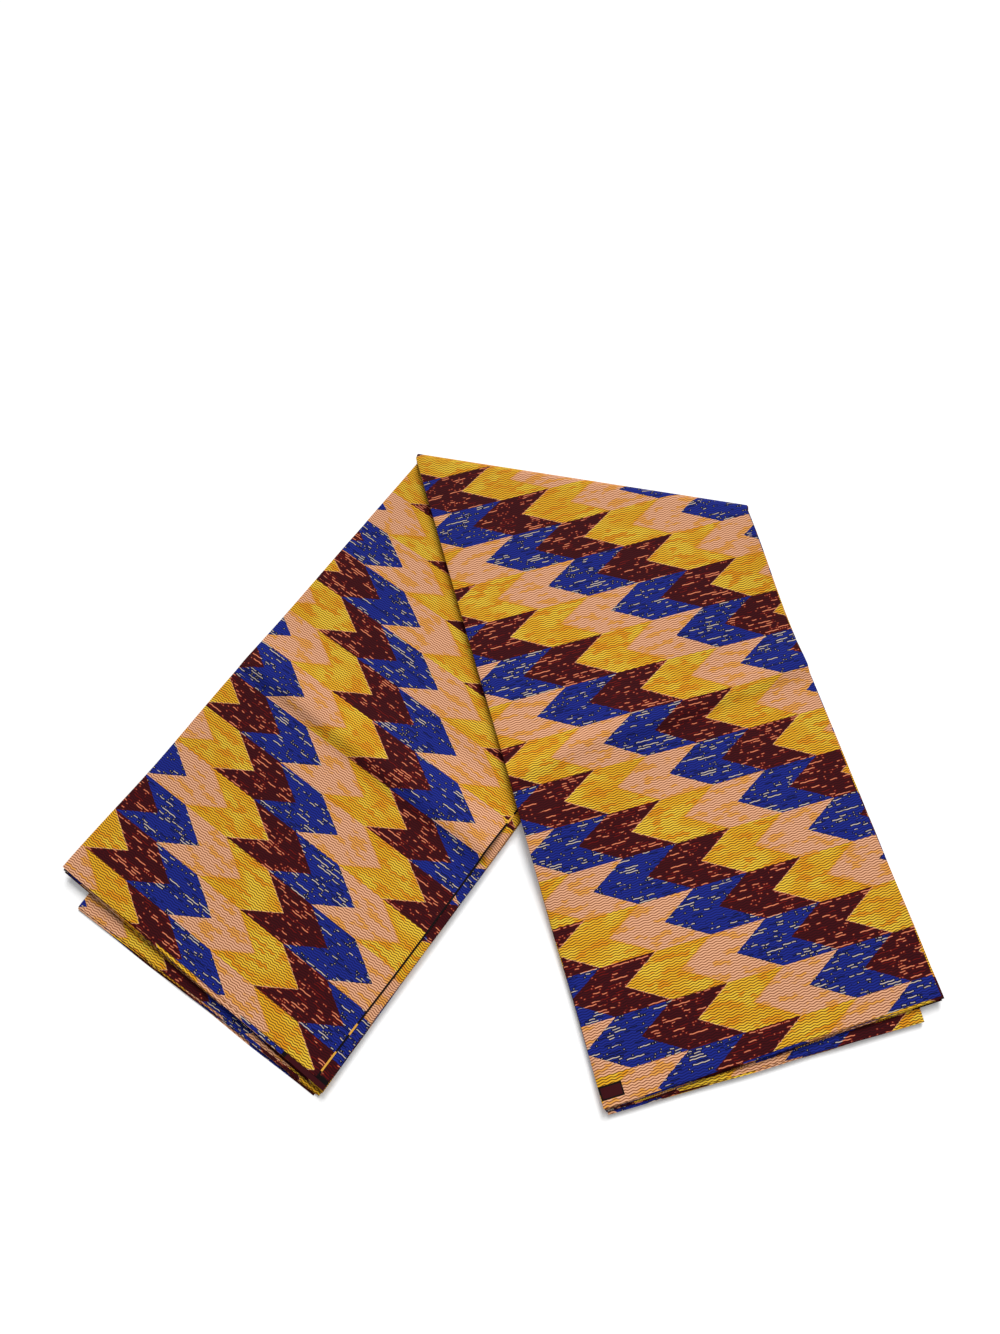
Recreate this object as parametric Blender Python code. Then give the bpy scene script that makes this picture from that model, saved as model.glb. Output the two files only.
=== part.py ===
"""Printed wrapper cloth: a long cloth folded back and forth into a strip, and that folded once on the slant.

Metres, +Z up. The slanted fold lies along +X, and both arms of the strip run from it towards -Y.
The right arm lies on the left one beside the fold and comes down to the ground beyond it.
A place on an arm is given by two distances from the apex, where the arms part: across the strip and along it.
Six layers stand for the eighteen real ones.
"""
import bpy
from math import cos, exp, pi, radians, sin, tan
from mathutils import Vector

# Driving sizes
STRIP_WIDTH = 0.305
ARM_ANGLE = radians(26.0)
SHEET = 0.0010
LAYER_GAP = 0.00055
MIDDLE_GAP = 0.00075
INNER_RADIUS = 0.0007
LAYERS = 6
HALF = LAYERS // 2

# The right arm's way down from the left arm to the ground
DROP_START = 0.002
DROP_LENGTH = 0.095

# Mesh steps: along each arm, around the slanted fold, across a layer and around a side fold
RIGHT_STEPS = 19
FOLD_STEPS = 6
LEFT_STEPS = 17
ACROSS_STEPS = 7
TURN_STEPS = 3

COLOUR = (0.38, 0.19, 0.10, 1.0)
ROUGHNESS = 0.85

# Where the sheet turns or is cut at the strip's sides, from the innermost layer out: its distance across at
# the right arm's end, at the slanted fold and at the left arm's end, and how far along it reaches on each arm
SIDE_COLUMNS = ("name", "right", "fold", "left", "right_end", "left_end")
SIDE_ROWS = (
    ("inner cut edge", 0.2755, 0.3000, 0.2925, 0.6385, 0.5085),
    ("fold 1", 0.0035, 0.0000, 0.0000, 0.6340, 0.5095),
    ("fold 2", 0.2815, 0.3045, 0.3015, 0.6400, 0.5110),
    ("fold 3", 0.0015, 0.0010, 0.0050, 0.6325, 0.5125),
    ("fold 4", 0.3035, 0.3050, 0.3005, 0.6265, 0.5200),
    ("fold 5", 0.0000, 0.0005, 0.0335, 0.6305, 0.5295),
    ("outer cut edge", 0.3020, 0.3040, 0.2960, 0.6240, 0.5220),
)

# The sides run a little unevenly along an arm
WAVE = 0.0007
WAVES_PER_ARM = 2.6
WAVE_SHIFT = 2.3

# Soft creases left by packing: a line between two places on an arm, as across and along, the rise of the top
# layer on it and its half-width. They fade in over a share of the arm from the slanted fold.
CREASE_COLUMNS = ("arm", "start", "end", "rise", "half_width")
CREASE_ROWS = (
    ("left", (0.000, 0.281), (0.305, 0.279), 0.0016, 0.020),
    ("right", (0.040, 0.342), (0.305, 0.316), 0.0014, 0.022),
    ("right", (0.000, 0.560), (0.305, 0.548), 0.0007, 0.030),
)
CREASE_FADE = 0.35

# The upper layers of the left arm lift off the lowest ones at its outer corner
LIFTED_LAYERS = 4
LIFT = 0.0028
LIFT_FROM = 0.380
LIFT_ALONG = 0.130
LIFT_ACROSS = 0.170

SIDES = [dict(zip(SIDE_COLUMNS, row)) for row in SIDE_ROWS]
CREASES = [dict(zip(CREASE_COLUMNS, row)) for row in CREASE_ROWS]

# Heights of the layers from the slanted fold's axis, which is as high as the left arm's stack
PITCH = SHEET + LAYER_GAP
INNERMOST = INNER_RADIUS + SHEET / 2
HEIGHTS = [INNERMOST + PITCH * k + (MIDDLE_GAP - LAYER_GAP) * (k >= HALF) for k in range(LAYERS)]
AXIS_HEIGHT = HEIGHTS[-1] + SHEET / 2
DROP = INNER_RADIUS + AXIS_HEIGHT


def mix(low, high, share):
    """The value at a share of the way from low to high."""
    return low + (high - low) * share


def ease(share):
    """A smooth step from 0 to 1 as share goes from 0 to 1."""
    share = min(max(share, 0.0), 1.0)
    return (1 - cos(pi * share)) / 2


def right_plan(across, along):
    """Plan position of a place on the right arm."""
    return Vector((across * cos(ARM_ANGLE) + along * sin(ARM_ANGLE),
                   across * sin(ARM_ANGLE) - along * cos(ARM_ANGLE)))


def left_plan(across, along):
    """Plan position of a place on the left arm."""
    return Vector((across * cos(ARM_ANGLE) - along * sin(ARM_ANGLE),
                   -across * sin(ARM_ANGLE) - along * cos(ARM_ANGLE)))


def drop_at(plan):
    """How far the right arm has come down at a plan position, by its distance past the left arm's edge."""
    past = plan.x * cos(ARM_ANGLE) - plan.y * sin(ARM_ANGLE) - STRIP_WIDTH
    return DROP * ease((past - DROP_START) / DROP_LENGTH)


def crease_at(arm, across, along):
    """Rise of the top layer by the creases of an arm at a place on it."""
    place = Vector((across, along))
    rise = 0.0
    for crease in CREASES:
        if crease["arm"] != arm:
            continue
        start, end = Vector(crease["start"]), Vector(crease["end"])
        share = min(max((place - start).dot(end - start) / (end - start).length_squared, 0.0), 1.0)
        distance = (place - start.lerp(end, share)).length
        rise += crease["rise"] * exp(-(distance / crease["half_width"]) ** 2)
    return rise


def path_points(face):
    """The section's points along the sheet on one of its faces, 1 or -1: each has its layer, the share of
    the way between the layer's two sides, its height from the fold's axis and, in a turn, its inset."""
    points = []
    for k in range(LAYERS):
        height = HEIGHTS[k] + face * (-1) ** k * SHEET / 2
        for step in range(ACROSS_STEPS + 1):
            share = step / ACROSS_STEPS
            points.append({"layer": k, "share": share, "height": height, "inset": None})
        if k == LAYERS - 1:
            break
        middle = (HEIGHTS[k] + HEIGHTS[k + 1]) / 2
        turn_radius = (HEIGHTS[k + 1] - HEIGHTS[k]) / 2
        radius = turn_radius - face * (-1) ** k * SHEET / 2
        for step in range(1, TURN_STEPS):
            angle = pi * step / TURN_STEPS
            points.append({"layer": k, "share": 1.0, "height": middle - radius * cos(angle),
                           "inset": turn_radius - radius * sin(angle)})
    return points


def side_across(row, arm, share):
    """Distance across of a side of the sheet, at a share of the way from the slanted fold to the arm's end."""
    wave = WAVE * sin(2 * pi * WAVES_PER_ARM * share + WAVE_SHIFT * row + (arm == "left"))
    return mix(SIDES[row]["fold"], SIDES[row][arm], share) + wave * share


def point_across(point, arm, share):
    """Distance across of a section point, at a share of the way from the slanted fold to the arm's end."""
    k = point["layer"]
    inward = (1, -1) if k % 2 else (-1, 1)
    start = side_across(k, arm, share)
    end = side_across(k + 1, arm, share)
    if point["inset"] is not None:
        return end + inward[1] * point["inset"]
    turn_before = (HEIGHTS[k] - HEIGHTS[k - 1]) / 2 if k else 0.0
    turn_after = (HEIGHTS[k + 1] - HEIGHTS[k]) / 2 if k < LAYERS - 1 else 0.0
    return mix(start + inward[0] * turn_before, end + inward[1] * turn_after, point["share"])


def point_end(point, arm):
    """How far along a section point's line reaches on an arm."""
    k = point["layer"]
    return mix(SIDES[k][arm + "_end"], SIDES[k + 1][arm + "_end"], point["share"])


def right_position(point, share):
    """Position of a section point on the right arm, share 0 at the slanted fold and 1 at the end."""
    across = point_across(point, "right", share)
    along = mix(across * tan(ARM_ANGLE), point_end(point, "right"), share)
    plan = right_plan(across, along)
    rank = (point["height"] - HEIGHTS[0]) / (HEIGHTS[-1] - HEIGHTS[0])
    relief = crease_at("right", across, along) * max(rank, 0.0) * ease(share / CREASE_FADE)
    return (plan.x, plan.y, AXIS_HEIGHT + point["height"] - drop_at(plan) + relief)


def left_position(point, share):
    """Position of a section point on the left arm, share 0 at the slanted fold and 1 at the end."""
    across = point_across(point, "left", share)
    along = mix(-across * tan(ARM_ANGLE), point_end(point, "left"), share)
    plan = left_plan(across, along)
    rank = 1 - (point["height"] - HEIGHTS[0]) / (HEIGHTS[-1] - HEIGHTS[0])
    relief = crease_at("left", across, along) * max(rank, 0.0) * ease(share / CREASE_FADE)
    lifted = point["height"] < (HEIGHTS[LIFTED_LAYERS - 1] + HEIGHTS[LIFTED_LAYERS]) / 2
    corner = ease((along - LIFT_FROM) / LIFT_ALONG) * ease(1 - across / LIFT_ACROSS)
    return (plan.x, plan.y, AXIS_HEIGHT - point["height"] + relief + LIFT * corner * lifted)


def fold_position(point, share):
    """Position of a section point around the slanted fold, share 0 at the right arm and 1 at the left arm."""
    across = point_across(point, "right", 0.0)
    angle = pi * share
    height = point["height"]
    return (across / cos(ARM_ANGLE), height * sin(angle), AXIS_HEIGHT + height * cos(angle))


def section_rows():
    """One row of positions for each station: in from the right arm's end, around the fold, out to the left."""
    points = path_points(1) + path_points(-1)[::-1]
    rows = []
    for step in range(RIGHT_STEPS):
        rows.append([right_position(point, 1 - step / RIGHT_STEPS) for point in points])
    for step in range(FOLD_STEPS + 1):
        rows.append([fold_position(point, step / FOLD_STEPS) for point in points])
    for step in range(LEFT_STEPS):
        rows.append([left_position(point, (step + 1) / LEFT_STEPS) for point in points])
    return rows


def cloth_mesh():
    """The folded cloth as one closed mesh, its origin at the middle of the bottom of its box."""
    rows = section_rows()
    around = len(rows[0])
    half = around // 2
    vertices = [Vector(position) for row in rows for position in row]
    low = Vector([min(v[axis] for v in vertices) for axis in range(3)])
    high = Vector([max(v[axis] for v in vertices) for axis in range(3)])
    origin = Vector(((low.x + high.x) / 2, (low.y + high.y) / 2, low.z))
    faces = []
    for row in range(len(rows) - 1):
        for step in range(around):
            after = (step + 1) % around
            faces.append((row * around + step, (row + 1) * around + step,
                          (row + 1) * around + after, row * around + after))
    last = (len(rows) - 1) * around
    for step in range(half - 1):
        across_sheet = (step, step + 1, around - 2 - step, around - 1 - step)
        faces.append(across_sheet)
        faces.append(tuple(last + index for index in reversed(across_sheet)))
    mesh = bpy.data.meshes.new("wrapper_cloth")
    mesh.from_pydata([vertex - origin for vertex in vertices], [], faces)
    mesh.validate()
    mesh.shade_smooth()
    mesh.set_sharp_from_angle(angle=radians(35.0))
    return mesh


def cloth_material():
    """Printed cotton in the print's mean colour."""
    material = bpy.data.materials.new("printed_cotton")
    material.use_nodes = True
    shader = material.node_tree.nodes["Principled BSDF"]
    shader.inputs["Base Color"].default_value = COLOUR
    shader.inputs["Roughness"].default_value = ROUGHNESS
    shader.inputs["Metallic"].default_value = 0.0
    return material


def main():
    for item in list(bpy.data.objects):
        bpy.data.objects.remove(item)
    mesh = cloth_mesh()
    mesh.materials.append(cloth_material())
    cloth = bpy.data.objects.new("wrapper_cloth", mesh)
    bpy.context.scene.collection.objects.link(cloth)


main()
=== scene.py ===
"""Looks of the printed wrapper cloth: a long cloth folded back and forth into a strip of eighteen layers,
and the strip folded once on the slant.

Metres, +Z up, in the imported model's frame. The slanted fold lies along +X, and both arms of the strip run
from it towards -Y. A place on an arm is given by two distances from the apex, where the arms part: across
the strip and along it. The cloth is one closed mesh. Its print is a procedural material, placed by the UV
map "print", which holds each point's place on the printed cloth in metres. The UV map "OFBake" lays the
sheet's faces side by side on a square, for a baked picture.
"""
import random
from math import cos, exp, pi, radians, sin, tan

import bpy
from mathutils import Matrix, Vector, noise


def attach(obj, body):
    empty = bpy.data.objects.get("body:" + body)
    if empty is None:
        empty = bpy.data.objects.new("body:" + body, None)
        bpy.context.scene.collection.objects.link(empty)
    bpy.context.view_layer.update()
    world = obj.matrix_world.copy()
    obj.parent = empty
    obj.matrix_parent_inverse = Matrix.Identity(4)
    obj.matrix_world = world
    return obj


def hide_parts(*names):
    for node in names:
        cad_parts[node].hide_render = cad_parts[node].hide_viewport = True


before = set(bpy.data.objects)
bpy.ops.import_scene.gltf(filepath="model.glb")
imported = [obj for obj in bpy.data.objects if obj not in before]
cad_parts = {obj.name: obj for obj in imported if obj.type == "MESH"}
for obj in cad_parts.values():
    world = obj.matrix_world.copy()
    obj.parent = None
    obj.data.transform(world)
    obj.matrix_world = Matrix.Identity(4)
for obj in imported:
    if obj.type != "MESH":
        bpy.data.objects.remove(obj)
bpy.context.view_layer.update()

# The folded strip, as in the part's source
APEX = Vector((-0.1624, 0.2950))
STRIP_WIDTH = 0.305
ARM_ANGLE = radians(26.0)
AXIS_HEIGHT = 0.00965
INNER_RADIUS = 0.0007
DROP = INNER_RADIUS + AXIS_HEIGHT
DROP_START = 0.002
DROP_LENGTH = 0.095

# The real layers
LAYERS = 18
SHEET = 0.0003
INNERMOST = INNER_RADIUS + SHEET / 2
PITCH = (AXIS_HEIGHT - SHEET / 2 - INNERMOST) / (LAYERS - 1)

# Mesh steps: along each arm, around the slanted fold, across a layer and around a side fold
RIGHT_STEPS = 66
FOLD_STEPS = 14
LEFT_STEPS = 56
OUTER_STEPS = 42
MIDDLE_STEPS = 13
TURN_STEPS = 4

# The steps along an arm are closer together around its creases, which lie at these shares of it, and by its
# two ends. How much closer is set against the spacing elsewhere, and worked out in fine steps.
RIGHT_CREASED = 0.46
LEFT_CREASED = 0.575
CREASED_REACH = 0.10
CREASE_CLOSER = 2.4
END_CLOSER = 0.8
FINE_STEPS = 400

# Edges that turn by more than this are drawn sharp
SHARP_ANGLE = radians(50.0)

# Where the sheet turns or is cut at the strip's sides, from the innermost layer out: its distance across at
# the right arm's end, at the slanted fold and at the left arm's end, how far along it reaches on each arm,
# and how far the print there is from its even place, which shows only where a layer reaches beyond others.
# Even rows are on the far side and odd ones on the near side, and the rows between two of a side lie evenly.
SIDE_COLUMNS = ("row", "right", "fold", "left", "right_end", "left_end", "shift")
SIDE_ROWS = (
    (0, 0.2755, 0.3000, 0.2925, 0.6385, 0.5085, 0.000),
    (1, 0.0035, 0.0000, 0.0000, 0.6345, 0.5095, 0.000),
    (2, 0.2800, 0.3035, 0.3013, 0.6400, 0.5140, 0.008),
    (4, 0.2800, 0.3035, 0.3003, 0.6400, 0.5135, 0.020),
    (7, 0.0020, 0.0005, 0.0010, 0.6355, 0.5115, 0.040),
    (8, 0.2815, 0.3045, 0.3005, 0.6400, 0.5125, 0.080),
    (9, 0.0015, 0.0010, 0.0030, 0.6325, 0.5125, -0.529),
    (10, 0.3030, 0.3050, 0.3010, 0.6285, 0.5135, 0.020),
    (11, 0.0005, 0.0010, 0.0050, 0.6310, 0.5130, 0.040),
    (13, 0.0005, 0.0005, 0.0310, 0.6300, 0.5280, 0.022),
    (14, 0.3035, 0.3050, 0.3005, 0.6265, 0.5200, 0.045),
    (16, 0.3032, 0.3050, 0.2990, 0.6265, 0.5210, 0.045),
    (17, 0.0000, 0.0000, 0.0335, 0.6296, 0.5300, 0.000),
    (18, 0.3020, 0.3040, 0.2970, 0.6240, 0.5225, 0.000),
)

# The sides run a little unevenly along an arm, and the ends across it
WAVE = 0.0007
WAVES_PER_ARM = 2.6
WAVE_SHIFT = 2.3 / 3
SIDE_SCATTER = 0.0004
END_SCATTER = 0.0007
SEED = 11
END_WAVE = 0.0006
END_WAVES = 1.3
END_WAVES_MORE = 0.37
END_WAVE_KINDS = 5
END_WAVE_SHIFT = 2.1

# Soft creases left by packing: a line between two places on an arm, as across and along, the rise of the
# top layer on it, or its fall where negative, and its width before and after the line, seen from the fold
CREASE_COLUMNS = ("arm", "start", "end", "rise", "before", "after")
CREASE_ROWS = (
    ("left", (0.015, 0.269), (0.305, 0.281), 0.0068, 0.034, 0.0060),
    ("left", (0.165, 0.214), (0.285, 0.220), -0.0016, 0.006, 0.009),
    ("left", (0.200, 0.243), (0.295, 0.246), -0.0009, 0.010, 0.010),
    ("left", (0.205, 0.357), (0.270, 0.353), -0.0008, 0.014, 0.010),
    ("left", (0.000, 0.094), (0.050, 0.101), -0.0008, 0.010, 0.010),
    ("right", (0.004, 0.347), (0.085, 0.334), 0.0032, 0.015, 0.005),
    ("right", (0.110, 0.335), (0.305, 0.316), 0.0040, 0.024, 0.0055),
    ("right", (0.004, 0.362), (0.085, 0.362), -0.0009, 0.008, 0.008),
    ("right", (0.000, 0.432), (0.035, 0.440), -0.0008, 0.010, 0.010),
    ("right", (0.000, 0.560), (0.305, 0.548), 0.0008, 0.030, 0.030),
)
CREASE_FADE = 0.012

# The other layers have fewer steps across, so they keep under the lowest of the creases within a step
LOWEST_WITHIN = (-0.024, -0.012, 0.0, 0.012, 0.024)

# How far from the right arm's edge the left arm's relief grows to its full height
COVER_FADE = 0.022

# The upper layers of the left arm lift off the lowest ones at its outer corner
LIFTED_LAYERS = 12
LIFT = 0.0028
LIFT_FROM = 0.380
LIFT_ALONG = 0.130
LIFT_ACROSS = 0.170

# The layers part a little at the cut ends of the arms, each by its own amount, and lie slightly unevenly
# everywhere. All but the parting fades in over a share of the arm from the slanted fold.
FLARE = 0.0012
FLARE_FROM = 0.93
PARTING_MIDDLE = 0.55
PARTING_SPREAD = 0.45
PARTING_SCALE = 14.0
PARTING_PER_LAYER = 0.5
PARTING_LEVEL = 7.7
UNEVEN = 0.0006
UNEVEN_SCALE = 9.0
UNEVEN_LEVEL = 0.3
FOLD_FADE = 0.15

# The print's place on the layers, in metres: along the cloth from the printed repeat's start, and across it.
# A skew is the shift along for each metre across. The arms' prints meet within a share of each arm.
LAYER_PITCH = 0.30446
FIRST_LAYER_START = 0.0044
RIGHT_ALONG = (LAYERS - 1) * LAYER_PITCH + 0.0345
RIGHT_ACROSS = 0.0294
RIGHT_LEVEL = 0.0206
RIGHT_SKEW = 0.0225
LEFT_ALONG = (LAYERS - 1) * LAYER_PITCH + 0.0333602
LEFT_STRETCH = 1.02
LEFT_PLACE = 0.263
LEFT_LEVEL = -0.3090
LEFT_SKEW = 0.07
PRINT_SETTLE = 0.4

# Camera: place in the frame, heading from +Y towards -X, pitch below the horizon, roll, and focal length
IMAGE_WIDTH = 1000
IMAGE_HEIGHT = 1334
CAMERA_PLACE = Vector((0.0167, -0.2006, 0.8548))
CAMERA_HEADING = radians(10.72)
CAMERA_PITCH = radians(70.66)
CAMERA_ROLL = radians(-0.52)
FOCAL_PIXELS = 940.0
SENSOR = 0.036

SIDES = [dict(zip(SIDE_COLUMNS, row)) for row in SIDE_ROWS]
CREASES = [dict(zip(CREASE_COLUMNS, row)) for row in CREASE_ROWS]


def mix(low, high, share):
    """The value at a share of the way from low to high."""
    return low + (high - low) * share


def ease(share):
    """A smooth step from 0 to 1 as share goes from 0 to 1."""
    share = min(max(share, 0.0), 1.0)
    return (1 - cos(pi * share)) / 2


def spread(count, creased):
    """Shares from 0 to 1 in count steps, closer together towards both ends and around the creased share."""
    reached = [0.0]
    for step in range(FINE_STEPS):
        share = (step + 0.5) / FINE_STEPS
        near = exp(-((share - creased) / CREASED_REACH) ** 2)
        reached.append(reached[-1] + 1.0 + END_CLOSER * (1 - sin(pi * share)) + CREASE_CLOSER * near)
    shares = []
    step = 0
    for index in range(count + 1):
        wanted = reached[-1] * index / count
        while step < FINE_STEPS - 1 and reached[step + 1] < wanted:
            step += 1
        part = (wanted - reached[step]) / (reached[step + 1] - reached[step])
        shares.append(min((step + part) / FINE_STEPS, 1.0))
    return shares


def height_of(layer):
    """A layer's distance from the slanted fold's axis."""
    return INNERMOST + PITCH * layer


def right_plan(across, along):
    """Plan position of a place on the right arm, from the apex."""
    return Vector((across * cos(ARM_ANGLE) + along * sin(ARM_ANGLE),
                   across * sin(ARM_ANGLE) - along * cos(ARM_ANGLE)))


def left_plan(across, along):
    """Plan position of a place on the left arm, from the apex."""
    return Vector((across * cos(ARM_ANGLE) - along * sin(ARM_ANGLE),
                   -across * sin(ARM_ANGLE) - along * cos(ARM_ANGLE)))


def drop_at(plan):
    """How far the right arm has come down at a plan position, by its distance past the left arm's edge."""
    past = plan.x * cos(ARM_ANGLE) - plan.y * sin(ARM_ANGLE) - STRIP_WIDTH
    return DROP * ease((past - DROP_START) / DROP_LENGTH)


def crease_at(arm, across, along):
    """Rise of the top layer by the creases of an arm at a place on it. They fade beyond their two ends."""
    place = Vector((across, along))
    rise = 0.0
    for crease in CREASES:
        if crease["arm"] != arm:
            continue
        start, end = Vector(crease["start"]), Vector(crease["end"])
        run = end - start
        share = (place - start).dot(run) / run.length_squared
        beyond = max(-share, share - 1.0, 0.0) * run.length
        past = (place - start).cross(run) / run.length
        width = crease["before"] if past > 0 else crease["after"]
        rise += crease["rise"] * exp(-(past / width) ** 2 - (beyond / CREASE_FADE) ** 2)
    return rise


def slant_of(arm):
    """How far along an arm the slanted fold runs for each metre across."""
    return tan(ARM_ANGLE) if arm == "right" else -tan(ARM_ANGLE)


def clear_of_cover(plan):
    """0 where the right arm lies on the left one and 1 well clear of it."""
    past = -plan.x * cos(ARM_ANGLE) - plan.y * sin(ARM_ANGLE)
    return ease(past / COVER_FADE)


def side_table():
    """One row for each side of the layers: the key rows, what lies between them, and some scatter."""
    scatter = random.Random(SEED)
    table = []
    for row in range(LAYERS + 1):
        keys = [key for key in SIDES if key["row"] % 2 == row % 2]
        below = [key for key in keys if key["row"] <= row][-1]
        above = [key for key in keys if key["row"] >= row][0]
        share = (row - below["row"]) / max(above["row"] - below["row"], 1)
        side = {name: mix(below[name], above[name], share) for name in SIDE_COLUMNS[1:]}
        amount = 1.0 if 1 < row < LAYERS - 1 else 0.0
        for name in ("right", "left"):
            side[name] = max(side[name] + amount * scatter.uniform(-SIDE_SCATTER, SIDE_SCATTER), 0.0)
        for name in ("right_end", "left_end"):
            side[name] += amount * scatter.uniform(-END_SCATTER, END_SCATTER)
        table.append(side)
    return table


TABLE = side_table()


def path_points(face):
    """The section's points along the sheet on one of its faces, 1 or -1. Each has its layer, the share of
    the way between the layer's two sides, its height from the fold's axis and, in a turn, its inset from
    the outermost place and its share of the turn."""
    points = []
    for layer in range(LAYERS):
        steps = OUTER_STEPS if layer in (0, LAYERS - 1) else MIDDLE_STEPS
        height = height_of(layer) + face * (-1) ** layer * SHEET / 2
        for step in range(steps + 1):
            points.append({"layer": layer, "share": step / steps, "height": height,
                           "inset": None, "turn": 0.0})
        if layer == LAYERS - 1:
            break
        middle = height_of(layer) + PITCH / 2
        radius = PITCH / 2 - face * (-1) ** layer * SHEET / 2
        for step in range(1, TURN_STEPS):
            angle = pi * step / TURN_STEPS
            points.append({"layer": layer, "share": 1.0, "height": middle - radius * cos(angle),
                           "inset": PITCH / 2 - radius * sin(angle), "turn": step / TURN_STEPS})
    return points


def side_across(row, arm, share):
    """Distance across of a side of the sheet, at a share of the way from the fold to the arm's end."""
    wave = WAVE * sin(2 * pi * WAVES_PER_ARM * share + WAVE_SHIFT * row + (arm == "left"))
    return mix(TABLE[row]["fold"], TABLE[row][arm], share) + wave * share


def point_across(point, arm, share):
    """Distance across of a section point, at a share of the way from the slanted fold to the arm's end."""
    layer = point["layer"]
    inward = (1, -1) if layer % 2 else (-1, 1)
    start = side_across(layer, arm, share)
    end = side_across(layer + 1, arm, share)
    if point["inset"] is not None:
        return end + inward[1] * point["inset"]
    turn_before = PITCH / 2 if layer else 0.0
    turn_after = PITCH / 2 if layer < LAYERS - 1 else 0.0
    return mix(start + inward[0] * turn_before, end + inward[1] * turn_after, point["share"])


def layer_end(layer, share, arm):
    """How far along a layer reaches on an arm, at a share of the way between its two sides."""
    name = arm + "_end"
    waves = END_WAVES + END_WAVES_MORE * (layer % END_WAVE_KINDS)
    wave = END_WAVE * sin(2 * pi * waves * share + END_WAVE_SHIFT * layer) * sin(pi * share)
    return mix(TABLE[layer][name], TABLE[layer + 1][name], share) + wave


def rank_of(point, arm):
    """A point's place in an arm's stack, from 0 at the bottom to 1 at the top."""
    share = (point["height"] - height_of(0)) / (height_of(LAYERS - 1) - height_of(0))
    share = min(max(share, 0.0), 1.0)
    return share if arm == "right" else 1.0 - share


def relief_at(point, arm, plan, across, along, share):
    """Rise of a point by the creases, the slight unevenness and the layers' parting at the arm's end."""
    rank = rank_of(point, arm)
    if point["layer"] == (LAYERS - 1 if arm == "right" else 0):
        crease = crease_at(arm, across, along)
    else:
        slant = slant_of(arm) * (1 - share)
        crease = min(crease_at(arm, across + step, along + step * slant) for step in LOWEST_WITHIN)
    uneven = UNEVEN * noise.noise(Vector((plan.x, plan.y, UNEVEN_LEVEL)) * UNEVEN_SCALE)
    lot = Vector((across * PARTING_SCALE, PARTING_PER_LAYER * point["layer"], PARTING_LEVEL))
    parting = PARTING_MIDDLE + PARTING_SPREAD * noise.noise(lot)
    flare = FLARE * parting * ease((share - FLARE_FROM) / (1 - FLARE_FROM))
    free = ease(share / FOLD_FADE) * (clear_of_cover(plan) if arm == "left" else 1.0)
    return rank * ((crease + uneven) * free + flare)


def right_place(point, share):
    """A section point on the right arm, share 0 at the slanted fold and 1 at the end: its position and its
    place on the printed cloth."""
    across = point_across(point, "right", share)
    slant = across * slant_of("right")
    along = mix(slant, layer_end(point["layer"], point["share"], "right"), share)
    plan = right_plan(across, along)
    relief = relief_at(point, "right", plan, across, along, share)
    position = (plan.x, plan.y, AXIS_HEIGHT + point["height"] - drop_at(plan) + relief)
    return position, print_place(point, "right", across, along, share)


def left_place(point, share):
    """The same for a section point on the left arm."""
    across = point_across(point, "left", share)
    slant = across * slant_of("left")
    along = mix(slant, layer_end(point["layer"], point["share"], "left"), share)
    plan = left_plan(across, along)
    relief = relief_at(point, "left", plan, across, along, share)
    lifted = point["height"] < height_of(LIFTED_LAYERS - 1) + PITCH / 2
    corner = ease((along - LIFT_FROM) / LIFT_ALONG) * ease(1 - across / LIFT_ACROSS)
    position = (plan.x, plan.y, AXIS_HEIGHT - point["height"] + relief + LIFT * corner * lifted)
    return position, print_place(point, "left", across, along, share)


def fold_place(point, share):
    """The same for a section point around the slanted fold, share 0 at the right arm and 1 at the left."""
    across = point_across(point, "right", 0.0)
    angle = pi * share
    height = point["height"]
    position = (across / cos(ARM_ANGLE), height * sin(angle), AXIS_HEIGHT + height * cos(angle))
    start = print_place(point, "right", across, across * slant_of("right"), 0.0)
    end = print_place(point, "left", across, across * slant_of("left"), 0.0)
    return position, start.lerp(end, share)


def arm_print(point, arm, along):
    """Place on the printed cloth that an arm alone gives a section point: along the cloth and across it."""
    layer, share = point["layer"], point["share"]
    begin = FIRST_LAYER_START if layer == 0 else layer * LAYER_PITCH
    length = mix(begin, (layer + 1) * LAYER_PITCH, share)
    length += mix(TABLE[layer]["shift"], TABLE[layer + 1]["shift"], share)
    shown = LAYERS - 1 if arm == "right" else 0
    shown_share = share if layer % 2 == shown % 2 else 1 - share
    beyond = layer_end(layer, share, arm) - layer_end(shown, shown_share, arm)
    if arm == "right":
        level = along - beyond - RIGHT_ACROSS
        return Vector((length - RIGHT_ALONG - RIGHT_SKEW * (level - RIGHT_LEVEL), level))
    level = LEFT_LEVEL - (along - beyond - LEFT_PLACE) * LEFT_STRETCH
    return Vector((length - LEFT_ALONG - LEFT_SKEW * (level - LEFT_LEVEL), level))


def print_place(point, arm, across, along, share):
    """Place on the printed cloth of a section point. The arms' prints meet smoothly near the slanted fold,
    and the layer that shows on an arm keeps that arm's print."""
    right = arm_print(point, "right", across * slant_of("right"))
    left = arm_print(point, "left", across * slant_of("left"))
    bend = Vector((0.0, pi * point["height"] * cos(ARM_ANGLE)))
    miss = left + bend - right
    rank = rank_of(point, "right")
    settle = 1 - ease(share / PRINT_SETTLE)
    own = miss * (1 - rank) if arm == "right" else miss * -rank
    return arm_print(point, arm, along) + own * settle


def stations():
    """The cross sections' kinds and shares: in from the right arm's end, around, and out to the left."""
    right = [("right", share) for share in spread(RIGHT_STEPS, RIGHT_CREASED)[:0:-1]]
    fold = [("fold", step / FOLD_STEPS) for step in range(FOLD_STEPS + 1)]
    left = [("left", share) for share in spread(LEFT_STEPS, LEFT_CREASED)[1:]]
    return right + fold + left


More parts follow.
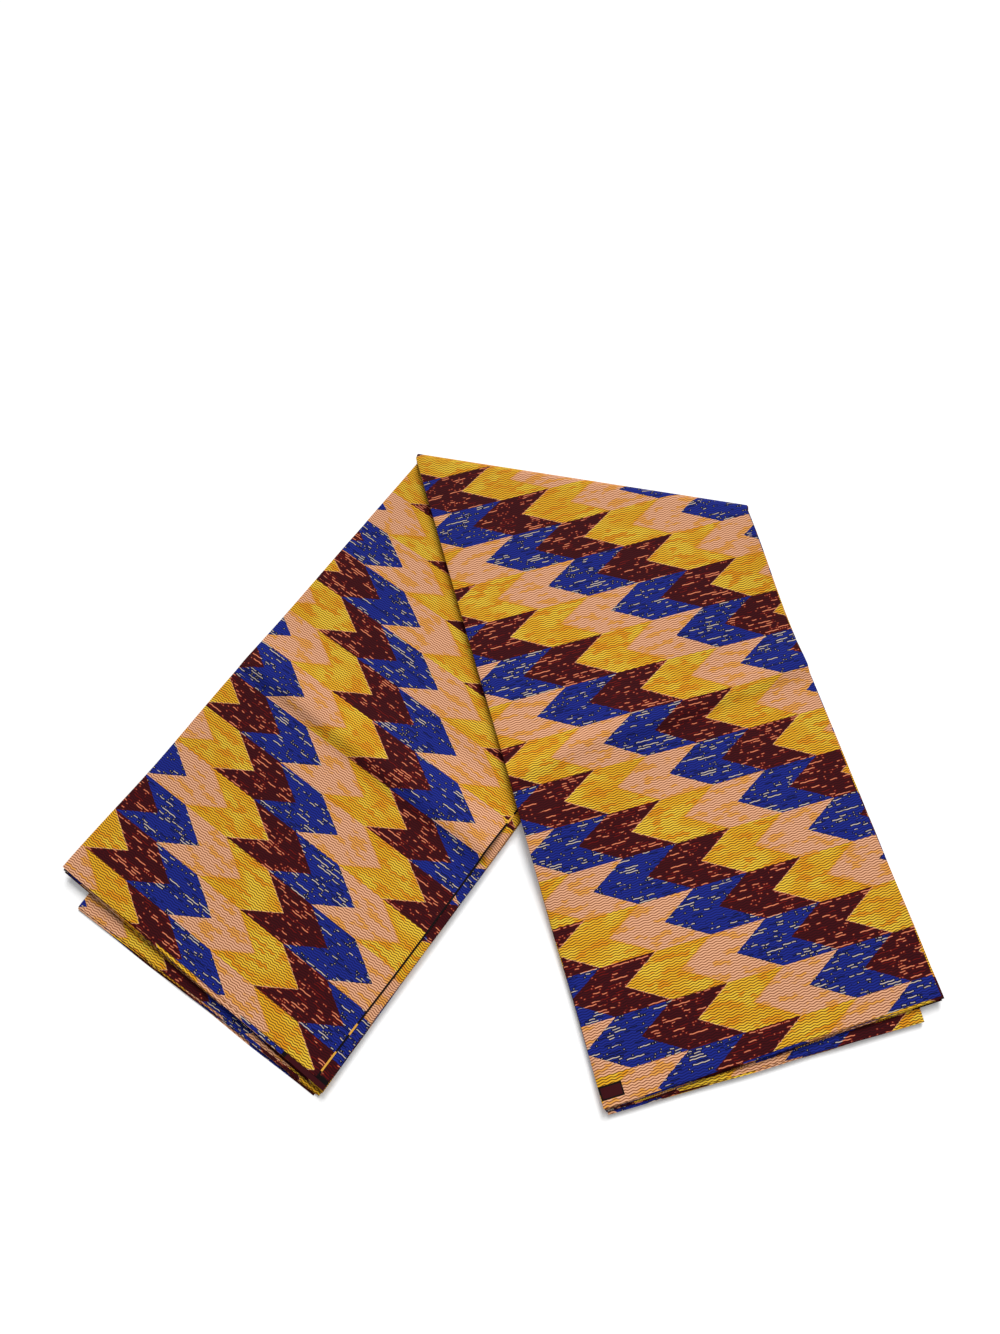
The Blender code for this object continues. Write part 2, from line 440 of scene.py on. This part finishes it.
# Where the sheet's faces lie on the flat square that a baked picture would fill: left, bottom, width and
# height. The four outer faces have large blocks, and the hidden ones are strips in a column.
BLOCKS = {
    ("outer", "right"): (0.005, 0.205, 0.435, 0.790),
    ("inner", "left"): (0.445, 0.205, 0.435, 0.790),
    ("outer", "left"): (0.005, 0.005, 0.435, 0.192),
    ("inner", "right"): (0.445, 0.005, 0.435, 0.192),
}
COLUMN = (0.890, 0.004, 0.106, 0.992)
STRIPS = 2 * LAYERS - 2
STRIP_GAP = 0.08

# Shares of a block that a side fold and the sheet's thin edges take
TURN_ROOM = 0.03
EDGE_ROOM = 0.012

# The parts of a hidden strip near its cut ends, in metres, and the share of the strip that each takes
END_LENGTH = 0.03
END_SHARE = 0.30


def block_of(face, layer, arm):
    """The block or strip of one face of a layer."""
    if face == -1 and layer in (0, LAYERS - 1):
        return BLOCKS["inner" if layer == 0 else "outer", arm]
    strip = layer if face == 1 else LAYERS + layer - 1
    left, bottom, width, height = COLUMN
    tall = height / STRIPS
    return (left, bottom + strip * tall, width, tall * (1 - STRIP_GAP))


def strip_level(distance, length):
    """Place along a hidden strip, 0 to 1, with the parts near the cut ends drawn larger."""
    inner = length - 2 * END_LENGTH
    if distance < END_LENGTH:
        return END_SHARE * distance / END_LENGTH
    if distance > length - END_LENGTH:
        return 1 - END_SHARE * (length - distance) / END_LENGTH
    return END_SHARE + (1 - 2 * END_SHARE) * (distance - END_LENGTH) / inner


class Picture:
    """Places of the mesh's corners on the flat square."""

    def __init__(self, points, marks, middle):
        self.points = points
        self.marks = marks
        self.middle = middle

    def across(self, index, home):
        """Place across the strip of the layer home, from 0 to just over 1 after its turn."""
        point = self.points[index]
        if point["layer"] != home:
            return 1.0 + TURN_ROOM
        return point["share"] + TURN_ROOM * point["turn"]

    def place(self, face, index, home, station, arm, beyond=(0.0, 0.0)):
        """A corner's place: on a face, at a section point, as part of a layer, at a station of an arm. The
        last value pushes it out past the strip's side or end, for the sheet's thin edges."""
        left, bottom, width, height = block_of(face, home, arm)
        whole = 1.0 + TURN_ROOM + 2 * EDGE_ROOM
        side = (self.across(index, home) + EDGE_ROOM + beyond[0] * EDGE_ROOM) / whole
        first, middle, last = self.marks[0], self.marks[self.middle], self.marks[-1]
        if face == -1 and home in (0, LAYERS - 1):
            start, end = (first, middle) if arm == "right" else (middle, last)
            level = (self.marks[station] - start) / (end - start)
        else:
            level = strip_level(self.marks[station], last)
        level = (level + EDGE_ROOM + beyond[1] * EDGE_ROOM) / (1 + 2 * EDGE_ROOM)
        return (left + width * side, bottom + height * level)


def cloth_mesh():
    """The folded cloth as one closed mesh with its UV maps: its print's and a baked picture's."""
    places = {"right": right_place, "fold": fold_place, "left": left_place}
    points = path_points(1)
    section = points + path_points(-1)[::-1]
    kinds = stations()
    rows = [[places[kind](point, share) for point in section] for kind, share in kinds]
    around = len(section)
    half = around // 2
    origin = Vector((APEX.x, APEX.y, 0.0))
    vertices = [Vector(position) + origin for row in rows for position, _ in row]
    prints = [place for row in rows for _, place in row]

    # Each station's distance from the right arm's end, along the middle of the section
    marks = [0.0]
    middle = around // 4
    for before, row in zip(rows, rows[1:]):
        marks.append(marks[-1] + (Vector(row[middle][0]) - Vector(before[middle][0])).length)
    middle_station = RIGHT_STEPS + FOLD_STEPS // 2
    picture = Picture(points, marks, middle_station)

    faces, picture_places, cut = [], [], []
    for row in range(len(rows) - 1):
        arm = "right" if row < middle_station else "left"
        for step in range(around):
            after = (step + 1) % around
            faces.append((row * around + step, (row + 1) * around + step,
                          (row + 1) * around + after, row * around + after))
            ends = [index if index < half else around - 1 - index for index in (step, after)]
            is_cut = step in (half - 1, around - 1)
            if is_cut:
                out = 1.0 if step == half - 1 else -1.0
                home = points[ends[0]]["layer"]
                near, far = [(-1, ends[0], (out if index < half else 0.0, 0.0)) for index in (step, after)]
            else:
                home = points[min(ends)]["layer"]
                near, far = [(1 if step < half else -1, end, (0.0, 0.0)) for end in ends]
            cut.append(is_cut)
            for side, station in ((near, row), (near, row + 1), (far, row + 1), (far, row)):
                face, end, beyond = side
                picture_places.append(picture.place(face, end, home, station, arm, beyond))
    last = len(rows) - 1
    for step in range(half - 1):
        corners = (step, step + 1, around - 2 - step, around - 1 - step)
        for station, order, out in ((0, corners, -1.0), (last, corners[::-1], 1.0)):
            faces.append(tuple(station * around + index for index in order))
            home = points[step]["layer"]
            arm = "right" if station == 0 else "left"
            cut.append(True)
            for index in order:
                end = index if index < half else around - 1 - index
                beyond = (0.0, out if index < half else 0.0)
                picture_places.append(picture.place(-1, end, home, station, arm, beyond))

    mesh = bpy.data.meshes.new("printed_wrapper_cloth")
    mesh.from_pydata(vertices, [], faces)
    print_map = mesh.uv_layers.new(name="print")
    corners = [0] * len(mesh.loops)
    mesh.loops.foreach_get("vertex_index", corners)
    print_map.data.foreach_set("uv", [value for index in corners for value in prints[index]])
    picture_map = mesh.uv_layers.new(name="OFBake")
    picture_map.data.foreach_set("uv", [value for place in picture_places for value in place])
    mesh.polygons.foreach_set("material_index", [int(is_cut) for is_cut in cut])
    mesh.shade_smooth()
    mesh.set_sharp_from_angle(angle=SHARP_ANGLE)
    return mesh


class Nodes:
    """Adds nodes to a material. An input is a number, a colour or another node's output."""

    def __init__(self, material):
        self.tree = material.node_tree

    def uv_map(self, name):
        node = self.tree.nodes.new("ShaderNodeUVMap")
        node.uv_map = name
        return node.outputs[0]

    def link(self, target, value):
        if isinstance(value, bpy.types.NodeSocket):
            self.tree.links.new(value, target)
        elif value is not None:
            target.default_value = value

    def math(self, operation, *inputs, clamp=False):
        node = self.tree.nodes.new("ShaderNodeMath")
        node.operation = operation
        node.use_clamp = clamp
        for socket, value in zip(node.inputs, inputs):
            self.link(socket, value)
        return node.outputs[0]

    def step(self, value, low, high):
        """0 below low, 1 above high and smooth between."""
        node = self.tree.nodes.new("ShaderNodeMapRange")
        node.interpolation_type = "SMOOTHSTEP"
        self.link(node.inputs["Value"], value)
        self.link(node.inputs["From Min"], low)
        self.link(node.inputs["From Max"], high)
        return node.outputs["Result"]

    def place(self, x, y, z=0.0):
        node = self.tree.nodes.new("ShaderNodeCombineXYZ")
        for socket, value in zip(node.inputs, (x, y, z)):
            self.link(socket, value)
        return node.outputs[0]

    def noise(self, place, scale=1.0, detail=1.0):
        node = self.tree.nodes.new("ShaderNodeTexNoise")
        self.link(node.inputs["Vector"], place)
        node.inputs["Scale"].default_value = scale
        node.inputs["Detail"].default_value = detail
        return node.outputs["Fac"]

    def stretched_noise(self, along, across, scales, detail=1.0):
        """Noise with its own scale along the print and across it."""
        place = self.place(self.math("MULTIPLY", along, scales[0]), self.math("MULTIPLY", across, scales[1]))
        return self.noise(place, 1.0, detail)

    def off_middle(self, level):
        """0 in the middle of each whole step of a level and 1 at the step's two ends."""
        return self.math("ABSOLUTE", self.math("MULTIPLY_ADD", self.math("FRACT", level), 2.0, -1.0))

    def scatter(self, place, dimensions=2):
        """An even random value from 0 to 1 for each place."""
        node = self.tree.nodes.new("ShaderNodeTexWhiteNoise")
        node.noise_dimensions = f"{dimensions}D"
        self.link(node.inputs["Vector"], place)
        return node.outputs["Value"]

    def blend_value(self, share, first, second):
        """The first number where share is 0 and the second where it is 1."""
        return self.math("MULTIPLY_ADD", share, self.math("SUBTRACT", second, first), first)

    def dashes(self, along, line, chance, kind):
        """Dashes along lines, at most one in each stretch of a line: a mask of them, and a longer one."""
        shift = self.math("MULTIPLY", self.scatter(self.place(line, kind["seed"])), DASH_SHIFT)
        level = self.math("MULTIPLY_ADD", along, 1 / kind["stretch"], shift)
        stretch = self.math("FLOOR", level)
        lot = self.scatter(self.place(stretch, line, kind["seed"]), 3)
        size = self.scatter(self.place(stretch, line, kind["seed"] + SIZE_SEED), 3)
        half_least, half_more = kind["shortest"] / 2, (kind["longest"] - kind["shortest"]) / 2
        reach = self.math("MULTIPLY_ADD", size, half_more, half_least)
        from_middle = self.math("MULTIPLY", self.off_middle(level), kind["stretch"] / 2)
        chosen = self.math("LESS_THAN", lot, chance)
        masks = []
        for longer in (0.0, HALO):
            within = self.math("LESS_THAN", from_middle, self.math("ADD", reach, longer))
            masks.append(self.math("MULTIPLY", chosen, within))
        return masks

    def blend(self, share, first, second):
        """The first colour where share is 0 and the second where it is 1."""
        node = self.tree.nodes.new("ShaderNodeMix")
        node.data_type = "RGBA"
        self.link(node.inputs["Factor"], share)
        self.link(node.inputs["A"], first)
        self.link(node.inputs["B"], second)
        return node.outputs["Result"]


# How bright the light falls on the cloth
LIGHT_LEVEL = 1.38


def colour(red, green, blue):
    """A linear colour from the red, green and blue, 0 to 255, that it shows in the scene's light, by the
    usual curve of screens."""
    shown = [value / 255 for value in (red, green, blue)]
    linear = [value / 12.92 if value <= 0.04045 else ((value + 0.055) / 1.055) ** 2.4 for value in shown]
    return (*[value / LIGHT_LEVEL for value in linear], 1.0)


# The print's repeat in millimetres: arrow-ended cells in rows, with ragged ends, and four colours in turn
CELL_LENGTH = 50.8
ROW_HEIGHT = 41.2
ARROW_DEPTH = 35.0
RAGGED_DEPTH = 3.0
RAGGED_SCALES = (0.5, 1.7)
TURNS = {"yellow": 0.0, "peach": 1.0, "blue": 2.0, "maroon": 3.0}

# The cells are filled with wavy lines, and a darker one between each two: it fades in between two limits of
# the distance from a line's middle, which is 1 halfway to the next. Each wave of a line falls over a share
# of its length and rises over the rest, and the waves drift along the line.
LINE_PITCH = 2.1
WAVE_LENGTH = 7.0
WAVE_HEIGHT = 0.85
WAVE_FALL = 0.7
DRIFT_SCALE = 0.03
DRIFT_WAVES = 1.6
LINE_LIMITS = (0.42, 0.72)
LIGHT_LINE_SHARE = 0.9
DARK_LINE_SHARE = 0.8

# In the light cells: orange patches, brighter yellow, an orange seam where two light cells meet, and a pale
# outline against the dark ones. Scales are along the print and across it, and limits are those of the noise.
PATCH_SCALES = (0.045, 0.35)
PATCH_LIMITS = (0.52, 0.60)
BRIGHT_SCALES = (0.03, 0.05)
BRIGHT_LIMITS = (0.42, 0.62)
SEAM_WIDTH = 5.0
SEAM_SHARE = 0.6
OUTLINE_WIDTH = 0.8
OUTLINE_SHARE = 0.6

# In the dark cells: streaks, less wavy than the lines, with the marks in their middle and the halos reaching
# further out, the places where the marks crowd, as they do by the rows' edges, or come as dots, and a border
# against the light cells
STREAK_HEIGHT = 0.35
STREAK_LIMITS = (0.22, 0.42)
NEAR_STREAK_LIMITS = (0.66, 0.84)
EDGE_LIMITS = (0.80, 0.97)
CROWD_SCALES = (0.045, 0.13)
CROWD_LIMITS = (0.45, 0.62)
DOTTED_SCALES = (0.06, 3.1)
DOTTED_LIMITS = (0.52, 0.58)
BORDER_WIDTH = 0.6
BORDER_RAGGED = 6.0

# The marks: at most one in each stretch of a streak, of a length between two, in millimetres. The chance of
# it is larger in the places named. Each kind has a seed for its random lots, and one more for its sizes.
DASH_COLUMNS = ("seed", "stretch", "shortest", "longest", "chance", "where", "more", "shown")
DASH_ROWS = (
    (1.0, 19.0, 7.0, 17.0, 0.05, "crowd", 0.20, 1.0),
    (3.0, 8.0, 2.5, 7.0, 0.07, "crowd", 0.14, 0.85),
    (5.0, 2.5, 0.7, 1.1, 0.03, "dotted", 0.18, 0.60),
    (7.0, 11.0, 3.0, 10.0, 0.14, "crowd", 0.16, 0.0),
)
DASHES = [dict(zip(DASH_COLUMNS, row)) for row in DASH_ROWS]
DASH_SHIFT = 7.0
SIZE_SEED = 0.5
HALO = 0.9

YELLOW = colour(250, 185, 38)
YELLOW_BRIGHT = colour(255, 209, 60)
YELLOW_LINE = colour(84, 46, 8)
ORANGE = colour(246, 162, 28)
PEACH = colour(250, 186, 144)
PEACH_LINE = colour(126, 68, 38)
PEACH_ORANGE = colour(248, 172, 80)
BLUE = colour(28, 43, 142)
BLUE_LINE = colour(10, 15, 80)
BLUE_DARK = colour(6, 6, 22)
MAROON = colour(68, 6, 14)
MAROON_LINE = colour(40, 3, 8)
MAROON_DARK = colour(112, 16, 10)
SALMON = colour(238, 146, 104)
CREAM = colour(218, 202, 190)
OUTLINE = colour(240, 186, 150)
THREADS = colour(236, 174, 66)
CUT_EDGE = colour(222, 160, 100)
CUT_EDGE_DARK = colour(58, 14, 14)
# The blocks' dark border; the same colour paints the shade line along the cloth's cut end
BLOCK_BORDER_AND_CUT_SHADE = colour(16, 7, 9)
BLOCK_FILL = colour(62, 10, 18)

# Plain blocks printed along the selvages: their places on the print and their border's width, in millimetres
BLOCK_COLUMNS = ("u0", "u1", "v0", "v1", "border")
BLOCK_ROWS = (
    (-47.3, -27.3, 583.6, 594.6, 1.3),
    (-4622.0, -4540.0, -566.0, -551.0, 4.0),
)
SELVAGE_BLOCKS = [dict(zip(BLOCK_COLUMNS, row)) for row in BLOCK_ROWS]

# A dark line painted along the cloth's cut end as shade in the gap under it, and the stretches of it where
# golden threads show, in millimetres
CUT_SHADE_WIDTH = 1.7
THREAD_STRETCHES = ((-553.5, -534.5), (-517.5, -506.5), (-291.0, -281.0))

# The cloth's surface: weave and crumple in the bump, and the roughness, a little uneven
WEAVE_PITCH = 0.6
WEAVE_HEIGHT = 0.02
CRUMPLE_SCALE = 0.11
CRUMPLE_DETAIL = 3.0
BUMP_STRENGTH = 0.35
BUMP_DISTANCE = 0.0012
ROUGHNESS = 0.82
ROUGHNESS_SPREAD = 0.12
ROUGHNESS_SCALE = 0.4
SPECULAR = 0.1
SHEEN = 0.02
SHEEN_ROUGHNESS = 0.5

# The thin edges: threads, and stains of the print between two limits of their noise
THREAD_SCALE = 900.0
THREAD_ROUGHNESS = 0.1
STAIN_SCALE = 28.0
STAIN_LIMITS = (0.40, 0.52)


def new_material(name):
    """A material with a Principled shader, and that shader."""
    material = bpy.data.materials.new(name)
    material.use_nodes = True
    return material, material.node_tree.nodes["Principled BSDF"]


def printed_cotton():
    """Cotton printed with rows of arrow-ended cells in yellow, peach, blue and maroon, in wavy lines."""
    material, shader = new_material("printed_cotton")
    nodes = Nodes(material)
    split = material.node_tree.nodes.new("ShaderNodeSeparateXYZ")
    nodes.link(split.inputs[0], nodes.uv_map("print"))
    u = nodes.math("MULTIPLY", split.outputs["X"], 1000.0)
    v = nodes.math("MULTIPLY", split.outputs["Y"], 1000.0)

    # Wavy lines
    drift = nodes.math("MULTIPLY", nodes.noise(nodes.place(u, v), DRIFT_SCALE), DRIFT_WAVES)
    turn = nodes.math("FRACT", nodes.math("MULTIPLY_ADD", u, 1 / WAVE_LENGTH, drift))
    fall = nodes.math("DIVIDE", turn, WAVE_FALL)
    rise = nodes.math("DIVIDE", nodes.math("SUBTRACT", 1.0, turn), 1 - WAVE_FALL)
    wave = nodes.step(nodes.math("MINIMUM", fall, rise), 0.0, 1.0)
    level = nodes.math("DIVIDE", nodes.math("MULTIPLY_ADD", wave, WAVE_HEIGHT, v), LINE_PITCH)
    line = nodes.math("FLOOR", level)
    line_mask = nodes.step(nodes.off_middle(level), *LINE_LIMITS)

    # Cells: their colours in turn, and how far a place is from the cell's low end and its high one
    ragged = nodes.math("SUBTRACT", nodes.stretched_noise(u, line, RAGGED_SCALES), 0.5)
    row_level = nodes.math("DIVIDE", v, ROW_HEIGHT)
    row = nodes.math("FLOOR", row_level)
    arrow = nodes.off_middle(row_level)
    ragged_place = nodes.math("MULTIPLY_ADD", ragged, RAGGED_DEPTH, u)
    cell_place = nodes.math("MULTIPLY_ADD", arrow, -ARROW_DEPTH, ragged_place)
    cell_level = nodes.math("DIVIDE", cell_place, CELL_LENGTH)
    cell = nodes.math("FLOOR", cell_level)
    order = nodes.math("FLOORED_MODULO", nodes.math("SUBTRACT", cell, row), float(len(TURNS)))
    is_peach = nodes.math("COMPARE", order, TURNS["peach"], 0.5)
    is_maroon = nodes.math("COMPARE", order, TURNS["maroon"], 0.5)
    is_dark = nodes.math("GREATER_THAN", order, TURNS["blue"] - 0.5)
    low_gap = nodes.math("MULTIPLY", nodes.math("FRACT", cell_level), CELL_LENGTH)
    high_gap = nodes.math("SUBTRACT", CELL_LENGTH, low_gap)

    # Light cells: orange patches, a seam between them, lines, and a pale outline against the dark ones
    patch_noise = nodes.stretched_noise(u, line, PATCH_SCALES, 2.0)
    patch = nodes.step(patch_noise, *PATCH_LIMITS)
    bright = nodes.step(nodes.stretched_noise(u, v, BRIGHT_SCALES), *BRIGHT_LIMITS)
    yellow = nodes.blend(bright, YELLOW, YELLOW_BRIGHT)
    light_base = nodes.blend(is_peach, yellow, PEACH)
    light_orange = nodes.blend(is_peach, ORANGE, PEACH_ORANGE)
    light_line = nodes.blend(is_peach, YELLOW_LINE, PEACH_LINE)
    from_dark = nodes.blend_value(is_peach, low_gap, high_gap)
    seam = nodes.step(nodes.math("SUBTRACT", CELL_LENGTH, from_dark), SEAM_WIDTH, 0.0)
    outline = nodes.math("LESS_THAN", from_dark, OUTLINE_WIDTH)
    light = nodes.blend(patch, light_base, light_orange)
    light = nodes.blend(nodes.math("MULTIPLY", seam, SEAM_SHARE), light, light_orange)
    light = nodes.blend(nodes.math("MULTIPLY", line_mask, LIGHT_LINE_SHARE), light, light_line)
    light = nodes.blend(nodes.math("MULTIPLY", outline, OUTLINE_SHARE), light, OUTLINE)

    # Dark cells: rows of dashes and dots, each with a halo, and dashes that are halo alone
    streak_level = nodes.math("DIVIDE", nodes.math("MULTIPLY_ADD", wave, STREAK_HEIGHT, v), LINE_PITCH)
    streak = nodes.math("FLOOR", streak_level)
    off_streak = nodes.off_middle(streak_level)
    on_streak = nodes.math("SUBTRACT", 1.0, nodes.step(off_streak, *STREAK_LIMITS))
    near_streak = nodes.math("SUBTRACT", 1.0, nodes.step(off_streak, *NEAR_STREAK_LIMITS))
    crowd_noise = nodes.stretched_noise(u, v, CROWD_SCALES)
    dotted_noise = nodes.stretched_noise(u, streak, DOTTED_SCALES)
    at_edge = nodes.step(arrow, *EDGE_LIMITS)
    wheres = {"crowd": nodes.math("ADD", nodes.step(crowd_noise, *CROWD_LIMITS), at_edge, clamp=True),
              "dotted": nodes.step(dotted_noise, *DOTTED_LIMITS)}
    marks, halos = 0.0, 0.0
    for kind in DASHES:
        chance = nodes.math("MULTIPLY_ADD", wheres[kind["where"]], kind["more"], kind["chance"])
        mark, halo = nodes.dashes(u, streak, chance, kind)
        marks = nodes.math("MAXIMUM", marks, nodes.math("MULTIPLY", mark, kind["shown"]))
        reach = near_streak if kind["shown"] else on_streak
        halos = nodes.math("MAXIMUM", halos, nodes.math("MULTIPLY", halo, reach))
    marks = nodes.math("MULTIPLY", marks, on_streak)
    from_light = nodes.blend_value(is_maroon, low_gap, high_gap)
    border_width = nodes.math("MULTIPLY_ADD", ragged, BORDER_RAGGED, BORDER_WIDTH)
    halos = nodes.math("MAXIMUM", halos, nodes.math("LESS_THAN", from_light, border_width))
    dark_base = nodes.blend(is_maroon, BLUE, MAROON)
    dark_line = nodes.blend(is_maroon, BLUE_LINE, MAROON_LINE)
    dark_halo = nodes.blend(is_maroon, BLUE_DARK, MAROON_DARK)
    dark_mark = nodes.blend(is_maroon, CREAM, SALMON)
    dark = nodes.blend(nodes.math("MULTIPLY", line_mask, DARK_LINE_SHARE), dark_base, dark_line)
    dark = nodes.blend(halos, dark, dark_halo)
    dark = nodes.blend(marks, dark, dark_mark)

    shown = nodes.blend(is_dark, light, dark)

    # Plain blocks along the selvages, and a dark line painted along the cloth's cut end as shade in the gap
    # under it
    for block in SELVAGE_BLOCKS:
        middle_u, middle_v = (block["u0"] + block["u1"]) / 2, (block["v0"] + block["v1"]) / 2
        half_u, half_v = (block["u1"] - block["u0"]) / 2, (block["v1"] - block["v0"]) / 2
        for inset, value in ((0.0, BLOCK_BORDER_AND_CUT_SHADE), (block["border"], BLOCK_FILL)):
            in_block = nodes.math("MULTIPLY", nodes.math("COMPARE", u, middle_u, half_u - inset),
                                  nodes.math("COMPARE", v, middle_v, half_v - inset))
            shown = nodes.blend(in_block, shown, value)
    from_cut = nodes.math("ADD", nodes.math("MULTIPLY_ADD", v, LEFT_SKEW, u),
                          1000 * (LEFT_ALONG - LEFT_SKEW * LEFT_LEVEL - FIRST_LAYER_START))
    # Painted shade: the dark line at the cut end, broken by stretches of golden threads
    cut_shade = BLOCK_BORDER_AND_CUT_SHADE
    for low, high in THREAD_STRETCHES:
        in_stretch = nodes.math("COMPARE", v, (low + high) / 2, (high - low) / 2)
        cut_shade = nodes.blend(in_stretch, cut_shade, THREADS)
    shown = nodes.blend(nodes.math("LESS_THAN", from_cut, CUT_SHADE_WIDTH), shown, cut_shade)
    nodes.link(shader.inputs["Base Color"], shown)

    # Plain weave and a slight crumple in the bump, and a slightly uneven roughness
    weave_u = nodes.math("SINE", nodes.math("MULTIPLY", u, 2 * pi / WEAVE_PITCH))
    weave_v = nodes.math("SINE", nodes.math("MULTIPLY", v, 2 * pi / WEAVE_PITCH))
    weave = nodes.math("MULTIPLY", weave_u, weave_v)
    crumple = nodes.noise(nodes.place(u, v), CRUMPLE_SCALE, CRUMPLE_DETAIL)
    bump = material.node_tree.nodes.new("ShaderNodeBump")
    bump.inputs["Strength"].default_value = BUMP_STRENGTH
    bump.inputs["Distance"].default_value = BUMP_DISTANCE
    nodes.link(bump.inputs["Height"], nodes.math("MULTIPLY_ADD", weave, WEAVE_HEIGHT, crumple))
    nodes.link(shader.inputs["Normal"], bump.outputs[0])
    rough_noise = nodes.noise(nodes.place(u, v), ROUGHNESS_SCALE, 2.0)
    rough = nodes.math("MULTIPLY_ADD", rough_noise, ROUGHNESS_SPREAD, ROUGHNESS - ROUGHNESS_SPREAD / 2)
    nodes.link(shader.inputs["Roughness"], rough)
    shader.inputs["Specular IOR Level"].default_value = SPECULAR
    shader.inputs["Sheen Weight"].default_value = SHEEN
    shader.inputs["Sheen Roughness"].default_value = SHEEN_ROUGHNESS
    return material


def cut_cotton():
    """The sheet's thin edges: cotton threads with a little of the print's colour."""
    material, shader = new_material("cut_cotton")
    nodes = Nodes(material)
    place = nodes.uv_map("print")
    threads = nodes.noise(place, THREAD_SCALE, 2.0)
    stain = nodes.step(nodes.noise(place, STAIN_SCALE), *STAIN_LIMITS)
    pale = nodes.blend(threads, CUT_EDGE, PEACH_LINE)
    nodes.link(shader.inputs["Base Color"], nodes.blend(stain, pale, CUT_EDGE_DARK))
    nodes.link(shader.inputs["Roughness"], nodes.math("MULTIPLY_ADD", threads, THREAD_ROUGHNESS, ROUGHNESS))
    shader.inputs["Specular IOR Level"].default_value = SPECULAR
    return material


def make_cloth(floor):
    """The dressed cloth in the place of its plain solid, on the floor."""
    mesh = cloth_mesh()
    mesh.materials.append(printed_cotton())
    mesh.materials.append(cut_cotton())
    cloth = bpy.data.objects.new("printed_wrapper_cloth", mesh)
    bpy.context.scene.collection.objects.link(cloth)
    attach(cloth, "root")
    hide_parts("wrapper_cloth")


# The floor, and the lights: the side that each shines from, its angle or size, and its strength
WHITE = (1.0, 1.0, 1.0, 1.0)
FLOOR_SIZE = 12.0
FLOOR_COLOUR = (0.88, 0.88, 0.88, 1.0)
FLOOR_ROUGHNESS = 0.9
FLOOR_GLOW = 0.10
SKY_STRENGTH = 0.38
KEY_TOWARDS = Vector((-0.05, 0.72, 0.66))
KEY_ANGLE = radians(26.0)
KEY_STRENGTH = 3.1
POOL_PLACE = (0.07, 0.05, 0.65)
POOL_SIZE = 0.25
POOL_POWER = 1.3


def make_floor():
    """A plain pale floor, lit a little from below."""
    mesh = bpy.data.meshes.new("floor")
    reach = FLOOR_SIZE / 2
    corners = [(-reach, -reach, 0), (reach, -reach, 0), (reach, reach, 0), (-reach, reach, 0)]
    mesh.from_pydata(corners, [], [(0, 1, 2, 3)])
    material, shader = new_material("floor")
    shader.inputs["Base Color"].default_value = FLOOR_COLOUR
    shader.inputs["Emission Color"].default_value = WHITE
    shader.inputs["Emission Strength"].default_value = FLOOR_GLOW
    shader.inputs["Roughness"].default_value = FLOOR_ROUGHNESS
    mesh.materials.append(material)
    floor = bpy.data.objects.new("floor", mesh)
    bpy.context.scene.collection.objects.link(floor)
    return floor


def add_light(name, kind, place, towards, power):
    """A light of a kind at a place, shining from that side of the cloth."""
    data = bpy.data.lights.new(name, kind)
    data.energy = power
    light = bpy.data.objects.new(name, data)
    light.location = place
    light.rotation_mode = "QUATERNION"
    light.rotation_quaternion = towards.to_track_quat("Z", "Y")
    bpy.context.scene.collection.objects.link(light)
    return data


def make_lights():
    """Plain soft studio light: an even sky, a broad soft key from behind, and a lamp overhead."""
    world = bpy.data.worlds.new("studio")
    world.use_nodes = True
    background = world.node_tree.nodes["Background"]
    background.inputs["Color"].default_value = WHITE
    background.inputs["Strength"].default_value = SKY_STRENGTH
    bpy.context.scene.world = world
    key = add_light("key", "SUN", KEY_TOWARDS, KEY_TOWARDS, KEY_STRENGTH)
    key.angle = KEY_ANGLE
    pool = add_light("overhead", "AREA", POOL_PLACE, Vector((0, 0, 1)), POOL_POWER)
    pool.size = POOL_SIZE
    bpy.data.objects["overhead"].visible_camera = False


def make_camera():
    """The photograph's camera."""
    data = bpy.data.cameras.new("camera")
    data.sensor_width = SENSOR * 1000
    data.lens = FOCAL_PIXELS / max(IMAGE_WIDTH, IMAGE_HEIGHT) * data.sensor_width
    ahead = Vector((-sin(CAMERA_HEADING) * cos(CAMERA_PITCH), cos(CAMERA_HEADING) * cos(CAMERA_PITCH),
                    -sin(CAMERA_PITCH)))
    right = Vector((cos(CAMERA_HEADING), sin(CAMERA_HEADING), 0.0))
    up = right.cross(ahead)
    rolled_right = right * cos(CAMERA_ROLL) + up * sin(CAMERA_ROLL)
    rolled_up = up * cos(CAMERA_ROLL) - right * sin(CAMERA_ROLL)
    turn = Matrix((rolled_right, rolled_up, -ahead)).transposed()
    camera = bpy.data.objects.new("camera", data)
    camera.matrix_world = Matrix.Translation(CAMERA_PLACE) @ turn.to_4x4()
    bpy.context.scene.collection.objects.link(camera)
    bpy.context.scene.camera = camera


make_camera()
make_cloth(make_floor())
make_lights()
bpy.context.scene.view_settings.view_transform = "Standard"
